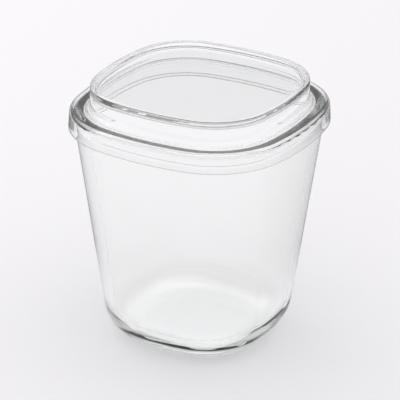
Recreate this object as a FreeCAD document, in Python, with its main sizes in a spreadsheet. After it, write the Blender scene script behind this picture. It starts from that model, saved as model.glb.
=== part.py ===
"""Rounded-square glass food container with a clear lid that only rests on it.

The container stands on the origin, +Z up, centred on Z. Both pieces share one
family of rounded squares: four long side arcs joined by four corner arcs, all
tangent. The lid is a clear moulding with a skirt outside the rim, a plug ring
inside the mouth and a raised ring round a sunken panel, so that the foot of the
next container nests in it. All sizes are in millimetres.
"""
import FreeCAD, Part
import math
import os
import Sketcher
from FreeCAD import Placement, Rotation, Vector

os.makedirs("parts", exist_ok=True)
doc = FreeCAD.newDocument("FoodContainer")

# ---------------------------------------------------------------- sizes
SIZES = [
    # the lid's outline, which every other outline follows
    ("lid_width", 100.0, "across the lid's skirt, side to side"),
    ("side_radius", 119.5, "long arc of each side of the skirt"),
    ("corner_radius", 35.0, "corner arc of the skirt"),
    # glass container
    ("glass_height", 102.3, "foot to rim"),
    ("rim_gap", 0.8, "between the glass rim and the skirt"),
    ("rim_wall", 4.6, "thickness of the glass at the rim"),
    ("rim_band", 2.5, "height of the upright band at the rim"),
    ("rim_round", 1.7, "outer edge of the rim"),
    ("mouth_round", 1.1, "inner edge of the rim"),
    ("foot_width", 71.0, "across the walls carried down to the table"),
    ("foot_corner", 27.2, "corner arc at the table"),
    ("foot_wall", 4.2, "thickness of the glass at the floor"),
    ("heel_radius", 16.5, "rounding from wall to foot"),
    ("floor_thickness", 7.0, "thickness of the glass floor"),
    ("floor_round", 10.5, "rounding from wall to inner floor"),
    # lid
    ("skirt_depth", 7.0, "skirt below the rim"),
    ("skirt_wall", 1.3, "thickness of the skirt at its lower edge"),
    ("skirt_draft", 0.5, "how far the skirt leans in up to the shoulder"),
    ("shoulder_thickness", 1.4, "plate that lies on the rim"),
    ("shoulder_round", 1.9, "outer edge of the shoulder"),
    ("collar_inset", 1.7, "collar further in than the plug ring's outside, at the shoulder"),
    ("collar_height", 10.0, "collar above the shoulder"),
    ("collar_draft", 0.33, "how far the collar leans in up to its top"),
    ("collar_wall", 1.5, "collar below the panel"),
    ("collar_flare", 2.0, "hollow rounding from shoulder to collar"),
    ("ring_width", 2.45, "flat top of the collar"),
    ("ring_round", 0.8, "rounding of both edges of that top"),
    ("recess_depth", 1.8, "top of the collar down to the panel"),
    ("recess_draft", 0.4, "how far the recess narrows to the panel"),
    ("recess_round", 1.2, "rounding from recess wall to panel"),
    ("panel_thickness", 1.0, "the sunken panel"),
    ("panel_round", 1.0, "rounding under the panel's edge"),
    ("plug_gap", 0.35, "between the plug ring and the mouth"),
    ("plug_wall", 1.3, "thickness of the plug ring"),
    ("plug_depth", 6.0, "plug ring below the rim"),
    ("flare_foot", 0.4, "where the inside starts to lean in, above the rim"),
    ("flare_top", 4.2, "where it meets the collar's inside, above the rim"),
    ("flare_round", 2.0, "rounding of both bends of that slope"),
    ("edge_round", 0.4, "lower edges of skirt and plug ring"),
]
sheet = doc.addObject("Spreadsheet::Sheet", "Sizes")
for row, (alias, value, note) in enumerate(SIZES, start=1):
    sheet.set("A%d" % row, alias)
    sheet.set("B%d" % row, str(value))
    sheet.setAlias("B%d" % row, alias)
    sheet.set("C%d" % row, note)
doc.recompute()


def size(expression):
    """Value of an expression in the sheet's aliases, for starting shapes only."""
    return float(sheet.evalExpression(expression))


# ---------------------------------------------------------------- outlines
class Outline:
    """A rounded square as two expressions: half its width, and its corner arc.

    The side arc follows from the two, so that the joints between side and corner
    arcs stay in line from one outline to the next and lofted walls stay smooth.
    """

    def __init__(self, half, corner):
        self.half = half
        self.corner = corner
        self.side = ("(%s) + (Sizes.side_radius - Sizes.corner_radius) * ((%s) - (%s))"
                     " / (Sizes.lid_width / 2 - Sizes.corner_radius)" % (corner, half, corner))

    def numbers(self):
        return size(self.half), size(self.side), size(self.corner)

    def moved_in(self, inset):
        """The same outline, a constant distance further in."""
        return Outline("%s - (%s)" % (self.half, inset), "%s - (%s)" % (self.corner, inset))

    def corner_centre(self):
        half, side, corner = self.numbers()
        reach = side - half
        return (-2 * reach + math.sqrt(8 * (side - corner) ** 2 - 4 * reach ** 2)) / 4

    def holds(self, point, tolerance=0.02):
        """True for a point on the outline."""
        half, side, corner = self.numbers()
        centre = self.corner_centre()
        across, along = sorted((abs(point.x), abs(point.y)), reverse=True)
        turn = math.atan2(centre, centre + side - half)
        if math.atan2(along, across + side - half) <= turn + 1e-6:
            off = math.hypot(across + side - half, along) - side
        else:
            off = math.hypot(across - centre, along - centre) - corner
        return abs(off) < tolerance


SKIRT = Outline("Sizes.lid_width / 2", "Sizes.corner_radius")
# glass: upright band at the rim, mouth, and the walls carried down to the table
BAND = SKIRT.moved_in("Sizes.skirt_wall + Sizes.rim_gap")
MOUTH = BAND.moved_in("Sizes.rim_wall")
FOOT = Outline("Sizes.foot_width / 2", "Sizes.foot_corner")
# how much the wall and its corners widen, per millimetre of height
WALL_HEIGHT = "(Sizes.glass_height - Sizes.rim_band)"
TAPER = "((%s) - (%s)) / %s" % (BAND.half, FOOT.half, WALL_HEIGHT)
CORNER_TAPER = "((%s) - (%s)) / %s" % (BAND.corner, FOOT.corner, WALL_HEIGHT)
FLOOR = Outline(
    "%s + (%s) * Sizes.floor_thickness - Sizes.foot_wall" % (FOOT.half, TAPER),
    "%s + (%s) * Sizes.floor_thickness - Sizes.foot_wall" % (FOOT.corner, CORNER_TAPER))
# lid
SHOULDER = SKIRT.moved_in("Sizes.skirt_draft")
SKIRT_INSIDE = SKIRT.moved_in("Sizes.skirt_wall")
PLUG = MOUTH.moved_in("Sizes.plug_gap")
PLUG_TIP = PLUG.moved_in("(%s) * Sizes.plug_depth" % TAPER)
PLUG_INSIDE = PLUG.moved_in("Sizes.plug_wall")
PLUG_TIP_INSIDE = PLUG_TIP.moved_in("Sizes.plug_wall")
# the collar follows the plug ring, so that the slope between their insides keeps its wall
COLLAR_FOOT = PLUG.moved_in("Sizes.collar_inset")
COLLAR_TOP = COLLAR_FOOT.moved_in("Sizes.collar_draft")
RING_INSIDE = COLLAR_TOP.moved_in("Sizes.ring_width")
RECESS_FLOOR = RING_INSIDE.moved_in("Sizes.recess_draft")
COLLAR_INSIDE = COLLAR_FOOT.moved_in("Sizes.collar_wall")
PANEL_EDGE = COLLAR_TOP.moved_in("Sizes.collar_wall")


# ---------------------------------------------------------------- features
def new_body(label):
    body = doc.addObject("PartDesign::Body", label)
    body.Label = label
    return body


def draw(body, name, outline, height):
    """Sketch of an outline, parallel to the body's XY plane at a height."""
    plane = [f for f in body.Origin.OriginFeatures if f.Role == "XY_Plane"][0]
    sketch = body.newObject("Sketcher::SketchObject", name)
    sketch.AttachmentSupport = [(plane, "")]
    sketch.MapMode = "FlatFace"
    sketch.setExpression("AttachmentOffset.Base.z", height)
    half, side, corner = outline.numbers()
    centre = outline.corner_centre()
    reach = side - half
    turn = math.atan2(centre, centre + reach)
    up, arcs = Vector(0, 0, 1), []
    for quarter in range(4):
        spin = Rotation(up, 90 * quarter)
        start = math.radians(90 * quarter)
        arcs.append(Part.ArcOfCircle(
            Part.Circle(spin.multVec(Vector(-reach, 0, 0)), up, side), start - turn, start + turn))
        arcs.append(Part.ArcOfCircle(
            Part.Circle(spin.multVec(Vector(centre, centre, 0)), up, corner),
            start + turn, start + math.pi / 2 - turn))
    sketch.addGeometry(arcs, False)
    rule, rules = Sketcher.Constraint, []
    for k in range(8):
        rules.append(rule("Tangent", k, 2, (k + 1) % 8, 1))
    rules += [rule("PointOnObject", 0, 3, -1), rule("PointOnObject", 2, 3, -2),
              rule("Symmetric", 0, 3, 4, 3, -1, 1), rule("Symmetric", 2, 3, 6, 3, -1, 1)]
    rules += [rule("Equal", 0, k) for k in (2, 4, 6)] + [rule("Equal", 1, k) for k in (3, 5, 7)]
    sketch.addConstraint(rules)
    bound = [(rule("Radius", 0, side), outline.side),
             (rule("Radius", 1, corner), outline.corner),
             (rule("DistanceX", 0, 3, -1, 1, reach), "%s - (%s)" % (outline.side, outline.half)),
             (rule("DistanceY", 2, 3, -1, 1, reach), "%s - (%s)" % (outline.side, outline.half))]
    for constraint, expression in bound:
        index = sketch.addConstraint(constraint)
        sketch.setExpression("Constraints[%d]" % index, expression)
    sketch.Visibility = False
    return sketch


def loft(body, name, lower, upper, cut=False):
    """Straight-sided loft between two (outline, height) pairs, added or cut."""
    kind = "PartDesign::SubtractiveLoft" if cut else "PartDesign::AdditiveLoft"
    foot = draw(body, name + "Foot", *lower)
    top = draw(body, name + "Top", *upper)
    feature = body.newObject(kind, name)
    # lofted downwards, which leaves the solid's faces pointing outwards
    feature.Profile = top
    feature.Sections = [foot]
    feature.Ruled = True
    doc.recompute()
    return feature


def edge_loop(feature, outline, height):
    """Names of the edges that lie along an outline at a height."""
    level, found = size(height), []
    for index, edge in enumerate(feature.Shape.Edges, start=1):
        ends = (edge.FirstParameter, edge.LastParameter)
        points = [edge.valueAt(ends[0] + (ends[1] - ends[0]) * t) for t in (0.1, 0.5, 0.9)]
        if all(abs(p.z - level) < 0.02 and outline.holds(p) for p in points):
            found.append("Edge%d" % index)
    if not found:
        raise RuntimeError("no edge on %s at %.3f" % (outline.half, level))
    return found


def rounded(body, name, radius, *loops):
    """Fillet of one radius along one or more edge loops."""
    base = body.Tip
    names = []
    for outline, height in loops:
        names += edge_loop(base, outline, height)
    feature = body.newObject("PartDesign::Fillet", name)
    feature.Base = (base, names)
    feature.setExpression("Radius", radius)
    doc.recompute()
    return feature


# ---------------------------------------------------------------- glass container
TABLE, TOP = "0", "Sizes.glass_height"
BAND_FOOT = WALL_HEIGHT
container = new_body("glass_container")
loft(container, "Wall", (FOOT, TABLE), (BAND, BAND_FOOT))
rounded(container, "Heel", "Sizes.heel_radius", (FOOT, TABLE))
loft(container, "RimBand", (BAND, BAND_FOOT), (BAND, TOP))
loft(container, "Hollow", (FLOOR, "Sizes.floor_thickness"), (MOUTH, TOP), cut=True)
rounded(container, "FloorRounding", "Sizes.floor_round", (FLOOR, "Sizes.floor_thickness"))
rounded(container, "RimRounding", "Sizes.rim_round", (BAND, TOP))
rounded(container, "MouthRounding", "Sizes.mouth_round", (MOUTH, TOP))

# ---------------------------------------------------------------- lid
# its own zero is the underside of the shoulder, which lies on the glass rim
SEAT, SHOULDER_TOP = "0", "Sizes.shoulder_thickness"
SKIRT_FOOT = "-Sizes.skirt_depth"
RING_TOP = "Sizes.shoulder_thickness + Sizes.collar_height"
PANEL_TOP = "%s - Sizes.recess_depth" % RING_TOP
PANEL_UNDER = "%s - Sizes.panel_thickness" % PANEL_TOP
PLUG_FOOT = "-Sizes.plug_depth"
FLARE_FOOT, FLARE_TOP = "Sizes.flare_foot", "Sizes.flare_top"
lid = new_body("lid")
loft(lid, "Skirt", (SKIRT, SKIRT_FOOT), (SHOULDER, SHOULDER_TOP))
loft(lid, "Collar", (COLLAR_FOOT, SHOULDER_TOP), (COLLAR_TOP, RING_TOP))
loft(lid, "Recess", (RECESS_FLOOR, PANEL_TOP), (RING_INSIDE, RING_TOP), cut=True)
rounded(lid, "ShoulderRounding", "Sizes.shoulder_round", (SHOULDER, SHOULDER_TOP))
rounded(lid, "CollarFlare", "Sizes.collar_flare", (COLLAR_FOOT, SHOULDER_TOP))
rounded(lid, "RingRounding", "Sizes.ring_round", (COLLAR_TOP, RING_TOP), (RING_INSIDE, RING_TOP))
rounded(lid, "RecessRounding", "Sizes.recess_round", (RECESS_FLOOR, PANEL_TOP))
# the inside, once the outside has its roundings
loft(lid, "SkirtHollow", (SKIRT_INSIDE, SKIRT_FOOT), (SKIRT_INSIDE, SEAT), cut=True)
loft(lid, "PlugRing", (PLUG_TIP, PLUG_FOOT), (PLUG, SEAT))
loft(lid, "PlugHollow", (PLUG_TIP_INSIDE, PLUG_FOOT), (PLUG_INSIDE, FLARE_FOOT), cut=True)
loft(lid, "FlareHollow", (PLUG_INSIDE, FLARE_FOOT), (COLLAR_INSIDE, FLARE_TOP), cut=True)
loft(lid, "CollarHollow", (COLLAR_INSIDE, FLARE_TOP), (PANEL_EDGE, PANEL_UNDER), cut=True)
rounded(lid, "PanelRounding", "Sizes.panel_round", (PANEL_EDGE, PANEL_UNDER))
rounded(lid, "FlareRounding", "Sizes.flare_round", (COLLAR_INSIDE, FLARE_TOP), (PLUG_INSIDE, FLARE_FOOT))
rounded(lid, "EdgeRounding", "Sizes.edge_round", (SKIRT, SKIRT_FOOT), (SKIRT_INSIDE, SKIRT_FOOT),
        (PLUG_TIP, PLUG_FOOT), (PLUG_TIP_INSIDE, PLUG_FOOT))
lid.setExpression("Placement.Base.z", "Sizes.glass_height")
doc.recompute()

# ---------------------------------------------------------------- checks and files
bodies = [container, lid]
for item in doc.Objects:
    if {"Invalid", "Error"} & set(item.State):
        raise RuntimeError("%s is %s" % (item.Label, item.State))
for body in bodies:
    shape = body.Shape
    if shape.isNull() or not shape.isValid() or len(shape.Solids) != 1:
        raise RuntimeError("%s has no single valid solid" % body.Label)
    box = shape.BoundBox
    print("%-16s volume %.1f mm3, x %.2f..%.2f, y %.2f..%.2f, z %.2f..%.2f" % (
        body.Label, shape.Volume, box.XMin, box.XMax, box.YMin, box.YMax, box.ZMin, box.ZMax))
for body in bodies:
    body.Shape.exportStep("parts/%s.step" % body.Label)
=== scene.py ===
"""Looks of the glass food container and its clear lid.

Both pieces are clear, so what shows is their rims, bends and the light that they
bend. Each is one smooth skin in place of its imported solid, fine enough for refraction:
a section carried round rounded squares by Geometry Nodes. Overall heights are read from
the frame, and the other sizes are the model's own to a fraction of a millimetre.
"""
import math

import bpy
import numpy as np
from mathutils import Matrix, Vector


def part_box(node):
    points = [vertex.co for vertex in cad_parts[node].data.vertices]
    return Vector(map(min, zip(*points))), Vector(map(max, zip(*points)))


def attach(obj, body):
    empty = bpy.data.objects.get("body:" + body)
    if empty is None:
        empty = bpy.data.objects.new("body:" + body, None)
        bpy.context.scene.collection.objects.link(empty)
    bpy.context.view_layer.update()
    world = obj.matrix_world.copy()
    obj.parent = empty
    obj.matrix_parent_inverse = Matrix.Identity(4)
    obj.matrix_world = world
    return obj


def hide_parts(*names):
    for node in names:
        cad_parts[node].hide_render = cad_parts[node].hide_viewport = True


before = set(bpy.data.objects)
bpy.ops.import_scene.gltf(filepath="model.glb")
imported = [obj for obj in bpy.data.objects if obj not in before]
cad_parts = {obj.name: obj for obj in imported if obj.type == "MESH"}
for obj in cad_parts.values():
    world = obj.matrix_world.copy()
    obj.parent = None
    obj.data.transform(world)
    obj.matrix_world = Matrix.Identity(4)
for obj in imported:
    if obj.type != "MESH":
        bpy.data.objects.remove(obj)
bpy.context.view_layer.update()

MM = 0.001
scene = bpy.context.scene

# ---------------------------------------------------------------- sizes, in millimetres
RIM_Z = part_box("glass_container")[1].z / MM      # the glass rim, where the lid's shoulder lies
LID_FOOT_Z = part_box("lid")[0].z / MM
LID_TOP_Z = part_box("lid")[1].z / MM
# the lid's skirt, which every other outline follows
SKIRT_HALF, SIDE_ARC, CORNER_ARC = 50.0, 119.5, 35.0
# glass
BAND_INSET, RIM_WALL, BAND_HEIGHT = 2.1, 4.6, 2.5
RIM_ROUND, MOUTH_ROUND, BAND_FOOT_ROUND = 1.7, 1.1, 3.0
FOOT_HALF, FOOT_CORNER, HEEL_ROUND = 35.5, 27.2, 16.5
FOOT_WALL, FLOOR_Z, FLOOR_ROUND = 4.2, 7.0, 10.5
LEAST_CORNER = 0.45                              # corner arc over half width, at the least
FOOT_END_HALF, FLOOR_FLAT = 12.0, 2.0            # where the section starts, and its last run
BAND_HALF = SKIRT_HALF - BAND_INSET
BAND_FOOT_Z = RIM_Z - BAND_HEIGHT
MOUTH_HALF = BAND_HALF - RIM_WALL
TAPER = (BAND_HALF - FOOT_HALF) / BAND_FOOT_Z
FLOOR_HALF = FOOT_HALF + TAPER * FLOOR_Z - FOOT_WALL
# lid
AIR = 0.06                                       # the film of air between rim and shoulder
FACET = 0.02                                     # keeps the skin inside the solid's own facets
SKIRT_WALL, SKIRT_DRAFT, SKIRT_EDGE = 1.3, 0.5, 0.4
SHOULDER, SHOULDER_ROUND = 1.4, 1.9
SHOULDER_Z = RIM_Z + SHOULDER
SEAT_INNER_ROUND, SEAT_OUTER_ROUND = 0.3, 0.6    # under the shoulder, beside plug and skirt
COLLAR_HALF, COLLAR_TOP_HALF, COLLAR_WALL, COLLAR_FLARE = 41.25, 40.92, 1.5, 2.0
RING_WIDTH, RING_ROUND = 2.45, 0.8
RECESS_DEPTH, RECESS_DRAFT, RECESS_ROUND = 1.8, 0.4, 1.2
PANEL, PANEL_ROUND = 1.0, 1.2
PANEL_UNDER_HALF, PANEL_END_HALF = 35.0, 34.0    # where the section starts and ends
PLUG_GAP, PLUG_WALL, PLUG_DEPTH, PLUG_EDGE = 0.35, 1.3, 6.0, 0.5
FLARE_FOOT, FLARE_TOP, FLARE_ROUND = 0.4, 4.2, 2.0
# how fine the skins are
POINTS_AROUND = 256
STEPS_IN_QUARTER = 8                             # in a rounding of 2 mm or less
LONGEST_RUN = 3.0
END_RINGS = (0.75, 0.5, 0.25, 0.0)               # shares of the end outline, down to a point


# ---------------------------------------------------------------- small helpers
def colour(hex_value):
    """sRGB hex to linear RGBA."""
    parts = [int(hex_value[k:k + 2], 16) / 255 for k in (1, 3, 5)]
    return (*[c / 12.92 if c <= 0.04045 else ((c + 0.055) / 1.055) ** 2.4 for c in parts], 1.0)


def node(tree, kind, settings=None, **inputs):
    """Adds a node, sets its properties and its inputs; an output socket is linked.

    An input is given by its name with _ for spaces, or as _NUMBER by its place.
    """
    made = tree.nodes.new(kind)
    for key, value in (settings or {}).items():
        setattr(made, key, value)
    for key, value in inputs.items():
        socket = made.inputs[int(key[1:]) if key[0] == "_" else key.replace("_", " ")]
        if isinstance(value, bpy.types.NodeSocket):
            tree.links.new(value, socket)
        else:
            socket.default_value = value
    return made


def work_out(tree, operation, first, second=0.0, third=0.0, clamp=False):
    """One step of arithmetic on numbers or sockets, as the socket of its result."""
    return node(tree, "ShaderNodeMath", {"operation": operation, "use_clamp": clamp},
                _0=first, _1=second, _2=third).outputs[0]


def eased(corners):
    """Section through (half width, height, radius) corners, each rounded by its radius."""
    points = []
    for k, (half, height, radius) in enumerate(corners):
        here = np.array((half, height), float)
        if radius == 0 or k in (0, len(corners) - 1):
            points.append(tuple(here))
            continue
        before = np.array(corners[k - 1][:2], float) - here
        after = np.array(corners[k + 1][:2], float) - here
        before /= np.linalg.norm(before)
        after /= np.linalg.norm(after)
        angle = math.acos(max(-1, min(1, float(before @ after))))
        middle = (before + after) / np.linalg.norm(before + after)
        centre = here + middle * radius / math.sin(angle / 2)
        start, end = (here + way * radius / math.tan(angle / 2) - centre for way in (before, after))
        sweep = math.pi - angle
        steps = STEPS_IN_QUARTER * sweep / (math.pi / 2)
        count = max(3, round(steps * max(1, (radius / 2) ** 0.5)))
        side = math.copysign(sweep, start[0] * end[1] - start[1] * end[0])
        for step in range(count + 1):
            c, s = math.cos(side * step / count), math.sin(side * step / count)
            points.append(tuple(centre + np.array((start[0] * c - start[1] * s,
                                                   start[0] * s + start[1] * c))))
    return points


def fine(points):
    """The same section with its long straight runs divided."""
    out = [points[0]]
    for (x0, z0), (x1, z1) in zip(points, points[1:]):
        parts = max(1, math.ceil(math.dist((x0, z0), (x1, z1)) / LONGEST_RUN))
        out += [(x0 + (x1 - x0) * k / parts, z0 + (z1 - z0) * k / parts)
                for k in range(1, parts + 1)]
    return out


def closed_ends(outlines):
    """Adds the flat ends: outlines that shrink to a point in the middle."""
    def towards_middle(outline):
        half, corner, height = outline
        return [(half * share, corner * share, height) for share in END_RINGS]
    return towards_middle(outlines[0])[::-1] + outlines + towards_middle(outlines[-1])


# ---------------------------------------------------------------- the rounded-square skin
SKIN_SIZES = (
    ("Points Around", "NodeSocketInt", POINTS_AROUND),
    ("Half Width", "NodeSocketFloat", SKIRT_HALF * MM),
    ("Side Arc", "NodeSocketFloat", SIDE_ARC * MM),
    ("Corner Arc", "NodeSocketFloat", CORNER_ARC * MM),
)
SEAM = 1e-7                                      # metres; points closer than this are one


def rounded_square_skin():
    """Node tree that carries a section round rounded squares.

    The section comes in as points whose x, y and z are one outline's half width,
    corner arc and height. Each outline has four side arcs and four corner arcs that
    meet in line, at the same angles on all of them, as on the moulds of both pieces.
    """
    tree = bpy.data.node_groups.new("rounded_square_skin", "GeometryNodeTree")
    sockets = tree.interface
    sockets.new_socket("Section", in_out="INPUT", socket_type="NodeSocketGeometry")
    for name, kind, default in SKIN_SIZES:
        sockets.new_socket(name, in_out="INPUT", socket_type=kind).default_value = default
    sockets.new_socket("Material", in_out="INPUT", socket_type="NodeSocketMaterial")
    sockets.new_socket("Skin", in_out="OUTPUT", socket_type="NodeSocketGeometry")
    given = tree.nodes.new("NodeGroupInput").outputs

    # a grid with one row for each outline and one column for each point round it, the
    # first column again as the last; the half keeps the division clear of rounding
    columns = work_out(tree, "ADD", given["Points Around"], 1.0)
    rows = node(tree, "GeometryNodeAttributeDomainSize", _0=given["Section"]).outputs["Point Count"]
    grid = node(tree, "GeometryNodeMeshGrid", Vertices_X=rows, Vertices_Y=columns)
    index = node(tree, "GeometryNodeInputIndex").outputs[0]
    row = work_out(tree, "FLOOR", work_out(tree, "DIVIDE", work_out(tree, "ADD", index, 0.5), columns))
    column = work_out(tree, "SUBTRACT", index, work_out(tree, "MULTIPLY", row, columns))
    here = node(tree, "GeometryNodeInputPosition").outputs[0]
    outline = node(tree, "GeometryNodeSampleIndex", {"data_type": "FLOAT_VECTOR"},
                   Geometry=given["Section"], Value=here, Index=row).outputs[0]
    outline = node(tree, "ShaderNodeSeparateXYZ", _0=outline).outputs
    half, corner, height = outline["X"], outline["Y"], outline["Z"]

    # the side arc follows from the half width and the corner arc
    growth = work_out(tree, "DIVIDE",
                      work_out(tree, "SUBTRACT", given["Side Arc"], given["Corner Arc"]),
                      work_out(tree, "SUBTRACT", given["Half Width"], given["Corner Arc"]))
    beyond = work_out(tree, "MULTIPLY", growth, work_out(tree, "SUBTRACT", half, corner))
    side = work_out(tree, "ADD", corner, beyond)
    reach = work_out(tree, "SUBTRACT", side, half)
    # where the corner arc's centre lies, along both axes
    root = work_out(tree, "SQRT", work_out(
        tree, "SUBTRACT", work_out(tree, "MULTIPLY", work_out(tree, "MULTIPLY", beyond, beyond), 8.0),
        work_out(tree, "MULTIPLY", work_out(tree, "MULTIPLY", reach, reach), 4.0)))
    centre = work_out(tree, "DIVIDE", work_out(tree, "MULTIPLY_ADD", reach, -2.0, root), 4.0)
    turn = work_out(tree, "ARCTAN2", centre, work_out(tree, "ADD", centre, reach))

    # steps from the middle of the nearest side, and the share of an eighth that they cover
    in_quarter = work_out(tree, "DIVIDE", given["Points Around"], 4.0)
    quarter = work_out(tree, "ROUND", work_out(tree, "DIVIDE", column, in_quarter))
    steps = work_out(tree, "SUBTRACT", column, work_out(tree, "MULTIPLY", quarter, in_quarter))
    share = work_out(tree, "DIVIDE", work_out(tree, "ABSOLUTE", steps),
                     work_out(tree, "DIVIDE", in_quarter, 4.0))
    on_corner = work_out(tree, "GREATER_THAN", share, 1.0)
    # half of the steps turn along the side arc and half along the corner arc
    angle = work_out(tree, "ADD",
                     work_out(tree, "MULTIPLY", turn, work_out(tree, "MINIMUM", share, 1.0)),
                     work_out(tree, "MULTIPLY", work_out(tree, "SUBTRACT", math.pi / 4, turn),
                              work_out(tree, "SUBTRACT", share, 1.0, clamp=True)))
    side_arc = node(tree, "ShaderNodeCombineXYZ", X=work_out(tree, "MULTIPLY", reach, -1.0),
                    Z=side).outputs[0]
    corner_arc = node(tree, "ShaderNodeCombineXYZ", X=centre, Y=centre, Z=corner).outputs[0]
    arc = node(tree, "ShaderNodeMix", {"data_type": "VECTOR"}, _0=on_corner,
               _4=side_arc, _5=corner_arc).outputs[1]
    arc = node(tree, "ShaderNodeSeparateXYZ", _0=arc).outputs
    across = work_out(tree, "MULTIPLY_ADD", arc["Z"], work_out(tree, "COSINE", angle), arc["X"])
    along = work_out(tree, "MULTIPLY_ADD", arc["Z"], work_out(tree, "SINE", angle), arc["Y"])
    along = work_out(tree, "MULTIPLY", along, work_out(tree, "SIGN", steps))
    point = node(tree, "ShaderNodeCombineXYZ", X=across, Y=along, Z=height).outputs[0]
    point = node(tree, "ShaderNodeVectorRotate", {"rotation_type": "Z_AXIS"}, Vector=point,
                 Angle=work_out(tree, "MULTIPLY", quarter, math.pi / 2)).outputs[0]

    # the seam and the points in the middle of both ends are closed, and faces look outwards
    skin = node(tree, "GeometryNodeSetPosition", Geometry=grid.outputs["Mesh"], Position=point)
    skin = node(tree, "GeometryNodeMergeByDistance", Geometry=skin.outputs[0], Distance=SEAM)
    skin = node(tree, "GeometryNodeFlipFaces", Mesh=skin.outputs[0])
    skin = node(tree, "GeometryNodeSetShadeSmooth", Geometry=skin.outputs[0])
    skin = node(tree, "GeometryNodeRealizeInstances", Geometry=skin.outputs[0])
    skin = node(tree, "GeometryNodeSetMaterial", Geometry=skin.outputs[0], Material=given["Material"])
    node(tree, "NodeGroupOutput", Skin=skin.outputs[0])
    return tree


SKIN_TREE = rounded_square_skin()


def skinned(name, outlines, material):
    """A piece whose mesh is the skin through (half width, corner arc, height) outlines."""
    section = bpy.data.meshes.new(name + "_section")
    section.from_pydata([[size * MM for size in outline] for outline in outlines], [], [])
    piece = bpy.data.objects.new(name, section)
    scene.collection.objects.link(piece)
    carry = piece.modifiers.new("carry_round", "NODES")
    carry.node_group = SKIN_TREE
    values = {"Material": material, **{size: value for size, _, value in SKIN_SIZES}}
    for socket in SKIN_TREE.interface.items_tree:
        if socket.in_out == "INPUT" and socket.name in values:
            carry[socket.identifier] = values[socket.name]
    evaluated = piece.evaluated_get(bpy.context.evaluated_depsgraph_get())
    mesh = bpy.data.meshes.new_from_object(evaluated)
    mesh.name = name
    piece.modifiers.remove(carry)
    piece.data = mesh
    bpy.data.meshes.remove(section)
    return piece


# ---------------------------------------------------------------- materials
STREAK_SEED, RIPPLE_SEED, FIBRE_SEED = 1.0, 2.0, 3.0


def blank(name):
    """A material without nodes, and its tree."""
    material = bpy.data.materials.new(name)
    material.use_nodes = True
    material.node_tree.nodes.clear()
    return material, material.node_tree


def waves(tree, place, across, stretch, seed):
    """Even noise whose patches are this many millimetres across, stretched along Z."""
    drawn = node(tree, "ShaderNodeMapping", Vector=place, Scale=(1, 1, 1 / stretch)).outputs[0]
    return node(tree, "ShaderNodeTexNoise", {"noise_dimensions": "4D"}, Vector=drawn,
                W=seed, Scale=1 / (across * MM), Detail=2.0, Roughness=0.5).outputs["Fac"]


def clear_material(name, *, ior, depth_tone, density, black_after_turns, streak, ripple, painted_dark_foot=None):
    """A clear wall: what it reflects and bends, and the tone that its depth gives.

    black_after_turns is how often light may turn back inside the wall before the wall is
    painted black there, painted shade for dark surroundings. streak is (millimetres
    across, stretch, palest, darkest) of the faint streaks in its clearness, ripple
    (millimetres across, millimetres high) of its surface. painted_dark_foot is (turns,
    full up to this height, gone at this height), in millimetres, where the wall is
    painted black after fewer turns, painted shade near the table.
    """
    material, tree = blank(name)
    place = node(tree, "ShaderNodeTexCoord").outputs["Object"]
    streak_across, stretch, palest, darkest = streak
    tint = node(tree, "ShaderNodeMix", {"data_type": "RGBA"},
                _0=waves(tree, place, streak_across, stretch, STREAK_SEED),
                _6=colour(palest), _7=colour(darkest))
    ripple_across, ripple_height = ripple
    rippled = node(tree, "ShaderNodeBump", Strength=1.0, Distance=ripple_height * MM,
                   Height=waves(tree, place, ripple_across, 1.0, RIPPLE_SEED))
    body = node(tree, "ShaderNodeBsdfPrincipled", Base_Color=tint.outputs[2], Roughness=0.0,
                Transmission_Weight=1.0, IOR=ior, Normal=rippled.outputs[0])
    depth = node(tree, "ShaderNodeVolumeAbsorption", Color=colour(depth_tone), Density=density)
    light = node(tree, "ShaderNodeLightPath").outputs
    # painted shade: light that has turned back too many times inside the wall is painted black
    black_after = black_after_turns
    # painted shade at the foot: near the table the wall is painted black after fewer turns
    if painted_dark_foot:
        painted_foot_turns, full_to, gone_at = painted_dark_foot
        height = node(tree, "ShaderNodeSeparateXYZ", _0=place).outputs["Z"]
        black_after = node(tree, "ShaderNodeMapRange", Value=height, From_Min=full_to * MM,
                     From_Max=gone_at * MM, To_Min=painted_foot_turns, To_Max=black_after_turns).outputs[0]
    painted_black_mask = work_out(tree, "GREATER_THAN", light["Glossy Depth"], black_after)
    painted_black = node(tree, "ShaderNodeEmission", Strength=0.0)
    seen = node(tree, "ShaderNodeMixShader", _0=painted_black_mask, _1=body.outputs[0], _2=painted_black.outputs[0])
    # the pale shadow that clear walls leave
    veil = node(tree, "ShaderNodeBsdfTransparent", Color=colour("#FBFCFC"))
    wall = node(tree, "ShaderNodeMixShader", _0=light["Is Shadow Ray"],
                _1=seen.outputs[0], _2=veil.outputs[0])
    node(tree, "ShaderNodeOutputMaterial", Surface=wall.outputs[0], Volume=depth.outputs[0])
    return material


# Soda-lime glass, pressed in a mould and fire-polished: clear, with near-black bends that are
# painted shade, black where light has turned back inside too often and soonest at the foot, a
# trace of grey-green where the light runs along the wall, faint upright streaks of the melt
# 2.5 mm apart and a slow ripple of the mould's chill 14 mm across.
PRESSED_GLASS = clear_material(
    "pressed_soda_lime_glass", ior=1.52, depth_tone="#DADEDB", density=6.0, black_after_turns=26.5,
    streak=(2.5, 8.0, "#FFFFFF", "#FEFFFE"), ripple=(14.0, 0.012), painted_dark_foot=(5.5, 8.0, 20.0))
# Clear copolyester, injection moulded: softer than glass to the eye, colourless, its
# thin edges stay light, with a fine flow ripple 6 mm across.
CLEAR_COPOLYESTER = clear_material(
    "moulded_clear_copolyester", ior=1.50, depth_tone="#E6E8E7", density=5.0, black_after_turns=60.5,
    streak=(5.0, 3.0, "#FFFFFF", "#FEFFFF"), ripple=(6.0, 0.004))


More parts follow.
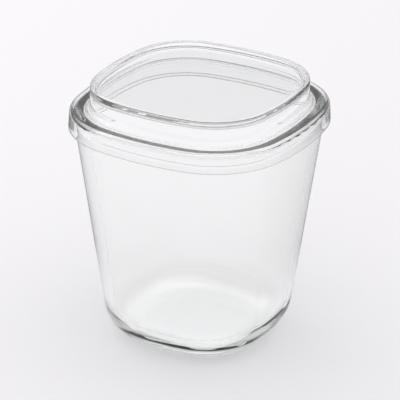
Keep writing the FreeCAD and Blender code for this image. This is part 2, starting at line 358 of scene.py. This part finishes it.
# ---------------------------------------------------------------- glass container
def outside_corner(half):
    """Corner arc of the glass's outer wall carried along its taper."""
    share = min((half - FOOT_HALF) / (BAND_HALF - FOOT_HALF), 1.0)
    return FOOT_CORNER + (CORNER_ARC - BAND_INSET - FOOT_CORNER) * share


def glass_outline(half, height):
    """The outline at a point of the glass's section.

    Its distance inside the outer wall comes off the corner arc too, which keeps the wall
    as thick at the corners.
    """
    wall = FOOT_HALF + TAPER * height
    return half, max(outside_corner(wall) - (wall - half), LEAST_CORNER * half), height


jar_section = eased([
    (FOOT_END_HALF, 0.0, 0),
    (FOOT_HALF, 0.0, HEEL_ROUND),
    (BAND_HALF, BAND_FOOT_Z, BAND_FOOT_ROUND),
    (BAND_HALF, RIM_Z, RIM_ROUND),
    (MOUTH_HALF, RIM_Z, MOUTH_ROUND),
    (FLOOR_HALF, FLOOR_Z, FLOOR_ROUND),
    (FLOOR_HALF - FLOOR_ROUND - FLOOR_FLAT, FLOOR_Z, 0),
])
jar = skinned("glass_jar", closed_ends([glass_outline(*point) for point in fine(jar_section)]),
              PRESSED_GLASS)

# ---------------------------------------------------------------- lid
seat_z = RIM_Z + AIR
panel_z = LID_TOP_Z - RECESS_DEPTH
plug_half = MOUTH_HALF - PLUG_GAP
plug_lean = TAPER * PLUG_DEPTH
plug_foot_z = RIM_Z - PLUG_DEPTH
recess_half = COLLAR_TOP_HALF - RING_WIDTH
lid_section = eased([
    # the inside, out from under the panel and down to the plug ring's foot
    (PANEL_UNDER_HALF, panel_z - PANEL, 0),
    (COLLAR_TOP_HALF - COLLAR_WALL, panel_z - PANEL, PANEL_ROUND),
    (COLLAR_HALF - COLLAR_WALL, RIM_Z + FLARE_TOP, FLARE_ROUND),
    (plug_half - PLUG_WALL, RIM_Z + FLARE_FOOT, FLARE_ROUND),
    (plug_half - PLUG_WALL - plug_lean, plug_foot_z, PLUG_EDGE),
    (plug_half - plug_lean, plug_foot_z, PLUG_EDGE),
    # over the rim and down to the skirt's foot
    (plug_half, seat_z, SEAT_INNER_ROUND),
    (SKIRT_HALF - SKIRT_WALL, seat_z, SEAT_OUTER_ROUND),
    (SKIRT_HALF - SKIRT_WALL, LID_FOOT_Z, SKIRT_EDGE),
    (SKIRT_HALF - FACET, LID_FOOT_Z, SKIRT_EDGE),
    # the outside, up over shoulder and collar and down into the recess
    (SKIRT_HALF - SKIRT_DRAFT - FACET, SHOULDER_Z, SHOULDER_ROUND),
    (COLLAR_HALF, SHOULDER_Z, COLLAR_FLARE),
    (COLLAR_TOP_HALF, LID_TOP_Z, RING_ROUND),
    (recess_half, LID_TOP_Z, RING_ROUND),
    (recess_half - RECESS_DRAFT, panel_z, RECESS_ROUND),
    (PANEL_END_HALF, panel_z, 0),
])
# every outline runs parallel to the skirt's
lid_outlines = [(half, CORNER_ARC - (SKIRT_HALF - half), z) for half, z in fine(lid_section)]
lid = skinned("clear_lid", closed_ends(lid_outlines), CLEAR_COPOLYESTER)

for piece, cad_node, slot in ((jar, "glass_container", "glass"), (lid, "lid", "clear_plastic")):
    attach(piece, "root")
    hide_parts(cad_node)


# ---------------------------------------------------------------- floor, in metres
# painted dark reflection: out from the middle, mirrors see the sheet pale, then painted dark grey
PALE_TO, DARK_FROM = 0.050, 0.105                # from the middle, where mirrors see the sheet
UNDER_JAR, PAST_JAR = 0.024, 0.044               # half widths of a rounded square
# strengths of the painted glow seen through clear walls, under the jar and past it
PAINTED_GLOW_UNDER, PAINTED_GLOW_PAST = 0.32, 0.05
FIBRES_ACROSS, FIBRES_HIGH = 3.0, 0.05           # millimetres


def paper_floor(half_size, below):
    """A wide sheet of pale matt paper, with a painted dark reflection in mirrors and a painted glow
    seen through glass.
    """
    mesh = bpy.data.meshes.new("floor")
    corners = [(x * half_size, y * half_size, -below) for x, y in ((-1, -1), (1, -1), (1, 1), (-1, 1))]
    mesh.from_pydata(corners, [], [(0, 1, 2, 3)])
    sheet = bpy.data.objects.new("floor", mesh)
    scene.collection.objects.link(sheet)

    # Uncoated paper: matt, barely violet white, mottled by its fibres. The fibres are
    # 3 mm apart here, coarser than real ones, which would be too fine to show.
    material, tree = blank("uncoated_matt_paper")
    place = node(tree, "ShaderNodeTexCoord").outputs["Object"]
    fibres = waves(tree, place, FIBRES_ACROSS, 1.0, FIBRE_SEED)
    pale = node(tree, "ShaderNodeMix", {"data_type": "RGBA"}, _0=fibres,
                _6=colour("#F0EEF1"), _7=colour("#EEECEF"))
    # painted reflection: away from the jar mirrors see the sheet dark grey, standing in for a
    # dark room, which gives clear edges their grey line: a mirrored ray is glossy and not a
    # transmission ray
    light = node(tree, "ShaderNodeLightPath").outputs
    mirrored = work_out(tree, "SUBTRACT", light["Is Glossy Ray"], light["Is Transmission Ray"],
                        clamp=True)
    from_middle = node(tree, "ShaderNodeVectorMath", {"operation": "LENGTH"}, _0=place)
    painted_dark_reflection = node(tree, "ShaderNodeMapRange", {"interpolation_type": "SMOOTHSTEP"},
                Value=from_middle.outputs["Value"], From_Min=PALE_TO, From_Max=DARK_FROM)
    # the sheet's colour, painted dark grey where mirrors see it away from the jar
    tone = node(tree, "ShaderNodeMix", {"data_type": "RGBA"},
                _0=work_out(tree, "MULTIPLY", painted_dark_reflection.outputs[0], mirrored),
                _6=pale.outputs[2], _7=colour("#3C3C3C"))
    # painted light: through clear walls the sheet glows a little, most of all under the jar, to keep
    # it pale there: a painted glow, on a rounded square, that lights nothing itself
    flat = node(tree, "ShaderNodeSeparateXYZ", _0=place).outputs
    fourths = [work_out(tree, "POWER", work_out(tree, "ABSOLUTE", flat[axis]), 4.0) for axis in (0, 1)]
    square = work_out(tree, "POWER", work_out(tree, "ADD", *fourths), 0.25)
    painted_glow = node(tree, "ShaderNodeMapRange", {"interpolation_type": "SMOOTHSTEP"}, Value=square,
                 From_Min=UNDER_JAR, From_Max=PAST_JAR, To_Min=PAINTED_GLOW_UNDER, To_Max=PAINTED_GLOW_PAST)
    fibre_bump = node(tree, "ShaderNodeBump", Strength=0.3, Distance=FIBRES_HIGH * MM,
                      Height=fibres)
    paper = node(tree, "ShaderNodeBsdfPrincipled", Base_Color=tone.outputs[2], Roughness=0.9,
                 Emission_Color=colour("#FFFFFF"), Normal=fibre_bump.outputs[0],
                 Emission_Strength=work_out(tree, "MULTIPLY", painted_glow.outputs[0],
                                            light["Is Transmission Ray"]))
    node(tree, "ShaderNodeOutputMaterial", Surface=paper.outputs[0])
    material.cycles.emission_sampling = "NONE"
    mesh.materials.append(material)
    return sheet


paper_floor(6.0, 0.1 * MM)


# ---------------------------------------------------------------- light
def room(strength, tones, backdrop):
    """World light, with its tones by the height of the direction: 0 level and 1 overhead.

    Seen straight from the camera, past the sheet's edge, it is a pale backdrop.
    """
    world = bpy.data.worlds.new("studio")
    scene.world = world
    world.use_nodes = True
    tree = world.node_tree
    tree.nodes.clear()
    aim = node(tree, "ShaderNodeSeparateXYZ",
               _0=node(tree, "ShaderNodeTexCoord").outputs["Generated"])
    ramp = node(tree, "ShaderNodeValToRGB", _0=aim.outputs["Z"])
    stops = ramp.color_ramp.elements
    while len(stops) < len(tones):
        stops.new(0.5)
    for stop, (height, tone) in zip(stops, tones):
        stop.position, stop.color = height, (tone, tone, tone, 1.0)
    sky = node(tree, "ShaderNodeBackground", Color=ramp.outputs["Color"], Strength=strength)
    wall = node(tree, "ShaderNodeBackground", Color=colour(backdrop), Strength=1.0)
    straight = node(tree, "ShaderNodeLightPath").outputs["Is Camera Ray"]
    seen = node(tree, "ShaderNodeMixShader", _0=straight, _1=sky.outputs[0], _2=wall.outputs[0])
    node(tree, "ShaderNodeOutputWorld", Surface=seen.outputs[0])


LAMP_AIM = (0, 0, 0.05)                          # metres, the middle of the jar


def softbox(name, place, size, power):
    """Area lamp aimed at the jar, kept out of mirrors, glass and view."""
    light = bpy.data.lights.new(name, "AREA")
    light.shape = "RECTANGLE"
    light.size, light.size_y = size
    light.energy = power
    lamp = bpy.data.objects.new(name, light)
    lamp.location = place
    lamp.rotation_mode = "QUATERNION"
    lamp.rotation_quaternion = (Vector(LAMP_AIM) - Vector(place)).to_track_quat("-Z", "Y")
    scene.collection.objects.link(lamp)
    lamp.visible_glossy = lamp.visible_transmission = lamp.visible_camera = False


# dim until two fifths of the way up, then pale
room(strength=1.10, tones=((0.04, 0.30), (0.42, 0.38), (0.62, 1.0)), backdrop="#F7F6F8")
softbox("key_softbox", place=(-1.28, 0.42, 1.2), size=(0.9, 0.9), power=7.5)
softbox("front_softbox", place=(0.5, -1.6, 1.0), size=(1.4, 0.9), power=1.5)

# ---------------------------------------------------------------- camera
AZIMUTH, ELEVATION, ROLL = (math.radians(angle) for angle in (29.71, 24.93, -0.61))
DISTANCE, FOCAL_SHARE, SENSOR = 1.02145, 6.117025, 36   # the focal length in picture widths
CAMERA_AIM, AIM_RIGHT, AIM_DOWN = (0, 0, 0.060), 0.00031, 0.0004
NEAR, FAR = 0.05, 50
WALL_BOUNCES, SHADOW_LAYERS = 64, 24
back = Vector((math.sin(AZIMUTH) * math.cos(ELEVATION), -math.cos(AZIMUTH) * math.cos(ELEVATION),
               math.sin(ELEVATION)))
right = Vector((math.cos(AZIMUTH), math.sin(AZIMUTH), 0))
up = back.cross(right)
camera = bpy.data.objects.new("camera", bpy.data.cameras.new("camera"))
camera.data.sensor_width = SENSOR
camera.data.lens = FOCAL_SHARE * SENSOR
camera.data.clip_start, camera.data.clip_end = NEAR, FAR
camera.location = Vector(CAMERA_AIM) + right * AIM_RIGHT - up * AIM_DOWN + back * DISTANCE
roll_cos, roll_sin = math.cos(ROLL), math.sin(ROLL)
camera.rotation_mode = "QUATERNION"
camera.rotation_quaternion = Matrix((right * roll_cos - up * roll_sin,
                                     right * roll_sin + up * roll_cos,
                                     back)).transposed().to_quaternion()
scene.collection.objects.link(camera)
scene.camera = camera
scene.view_settings.view_transform = "Standard"
# clear walls turn light many times before it gets out
for bounces in ("max_bounces", "transmission_bounces", "glossy_bounces"):
    setattr(scene.cycles, bounces, WALL_BOUNCES)
scene.cycles.transparent_max_bounces = SHADOW_LAYERS
